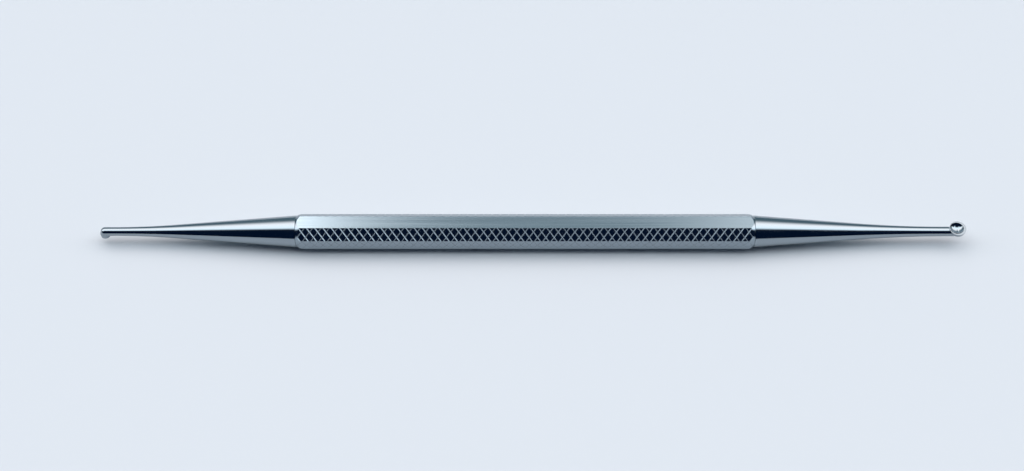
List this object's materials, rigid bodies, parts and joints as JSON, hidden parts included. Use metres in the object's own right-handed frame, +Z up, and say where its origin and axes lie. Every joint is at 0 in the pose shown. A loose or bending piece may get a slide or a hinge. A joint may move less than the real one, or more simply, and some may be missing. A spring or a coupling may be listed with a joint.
{
  "type": "double-ended dental curette",
  "caption": "Double-ended spoon curette: knurled octagonal handle with a plain top flat and a slender tapered shank at each end, one ending in a large round cup, one in a small one.",
  "frame": {"origin": "middle of the handle flat that the instrument lies on", "axes": "+X along the handle towards the large cup, +Z up out of the plain marking flat, +Y the rest of a right-handed frame"},
  "size_m": [0.1402, 0.0054, 0.0053],
  "materials": {
    "handle_steel": "satin, diamond knurled on seven flats, plain on the eighth",
    "polished_steel": "polished"
  },
  "bodies": {
    "root": {"handle": "handle_steel", "large_cup_end": "polished_steel", "small_cup_end": "polished_steel"}
  },
  "joints": []
}
